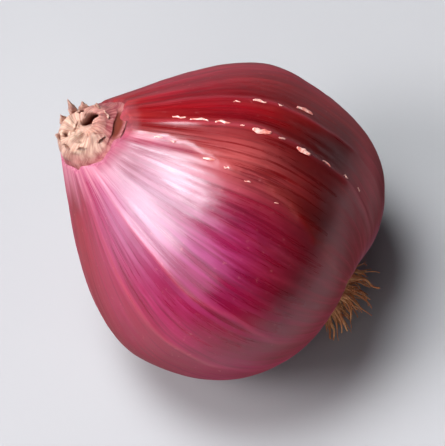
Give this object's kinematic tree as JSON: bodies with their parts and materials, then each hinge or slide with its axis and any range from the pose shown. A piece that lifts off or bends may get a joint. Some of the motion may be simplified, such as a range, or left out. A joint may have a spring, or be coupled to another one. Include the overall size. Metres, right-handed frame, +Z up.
{
  "type": "pink shallot",
  "caption": "Whole dried shallot bulb with grown-together lobes in one pink-red skin, a withered papery neck and a tuft of dry roots, lying on its side.",
  "frame": {"origin": "middle of the small flat spot that the bulb rests on", "axes": "+Z up, away from the surface it lies on; the neck points towards -X and rises; +Y runs across the lobes, towards the smaller one, and is the longest extent"},
  "size_m": [0.037, 0.0379, 0.0312],
  "materials": {
    "skin": "gloss",
    "dry_scales": "matte",
    "roots": "matte"
  },
  "bodies": {
    "root": {"bulb": "skin", "dried_neck": "dry_scales", "root_tuft": "roots"}
  },
  "joints": []
}
